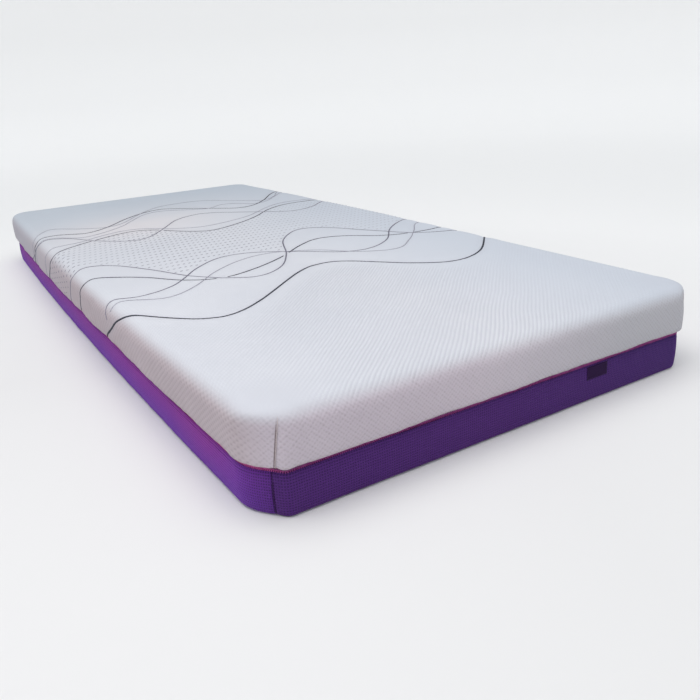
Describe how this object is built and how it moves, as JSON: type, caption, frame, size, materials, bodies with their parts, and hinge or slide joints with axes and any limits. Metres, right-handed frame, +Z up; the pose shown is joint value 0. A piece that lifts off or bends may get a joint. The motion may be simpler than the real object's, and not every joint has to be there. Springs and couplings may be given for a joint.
{
  "type": "pressure relief mattress",
  "caption": "Layered foam pressure relief mattress with a white stretch-knit top cover that unzips from a purple non-slip lower cover.",
  "frame": {"origin": "centre of the flat underside of the mattress", "axes": "+X across the width, +Y towards the head end, +Z up"},
  "size_m": [0.92, 2.03, 0.16],
  "materials": {
    "white_knit": "matte stretch knit",
    "white_seam": "overlocked seam",
    "membrane": "polyurethane coated backing",
    "purple_fabric": "matte woven side border",
    "purple_seam": "sewn seam",
    "base_fabric": "coated non-slip fabric",
    "zip_tape": "woven polyester tape",
    "zip_coil": "nylon monofilament coil",
    "zip_metal": "satin lacquered die casting",
    "dark_label": "woven satin label",
    "light_label": "woven satin label",
    "firm_foam": "open cell polyurethane foam",
    "core_foam": "open cell polyurethane foam",
    "memory_foam": "slow recovery visco-elastic foam"
  },
  "bodies": {
    "mattress_base": {"base_panel": "base_fabric", "base_seam": "purple_seam", "border_foot": "purple_fabric", "border_head": "purple_fabric", "border_left": "purple_fabric", "border_right": "purple_fabric", "border_corner_seams": "purple_seam", "size_label": "dark_label", "care_label": "light_label", "foam_base_layer": "firm_foam", "foam_core": "core_foam", "foam_bolster_foot": "firm_foam", "foam_bolster_head": "firm_foam", "foam_bolster_left": "firm_foam", "foam_bolster_right": "firm_foam", "foam_top_layer": "memory_foam", "zip_tape_lower": "zip_tape", "zip_coil_lower": "zip_coil"},
    "cover": {"top_cover": "white_knit", "top_cover_corner_seams": "white_seam", "waterproof_membrane": "membrane", "zip_tape_upper": "zip_tape", "zip_coil_upper": "zip_coil"},
    "slider_left": {"zip_slider_left": "zip_metal"},
    "slider_right": {"zip_slider_right": "zip_metal"},
    "pull_left": {"zip_pull_left": "zip_metal"},
    "pull_right": {"zip_pull_right": "zip_metal"}
  },
  "joints": [
    {"name": "cover_lift", "type": "slide", "parent": "mattress_base", "child": "cover", "axis": [0, 0, 1], "range_m": [0, 0.3]},
    {"name": "slider_left_slide", "type": "slide", "parent": "mattress_base", "child": "slider_left", "axis": [-1, 0, 0], "range_m": [0, 0.34]},
    {"name": "slider_right_slide", "type": "slide", "parent": "mattress_base", "child": "slider_right", "axis": [1, 0, 0], "range_m": [0, 0.34]},
    {"name": "pull_left_hinge", "type": "hinge", "parent": "slider_left", "child": "pull_left", "pos_m": [-0.0088, 1.011, 0.071], "axis": [0, 0, -1], "range_deg": [0, 100]},
    {"name": "pull_right_hinge", "type": "hinge", "parent": "slider_right", "child": "pull_right", "pos_m": [0.0088, 1.011, 0.071], "axis": [0, 0, 1], "range_deg": [0, 100]}
  ]
}
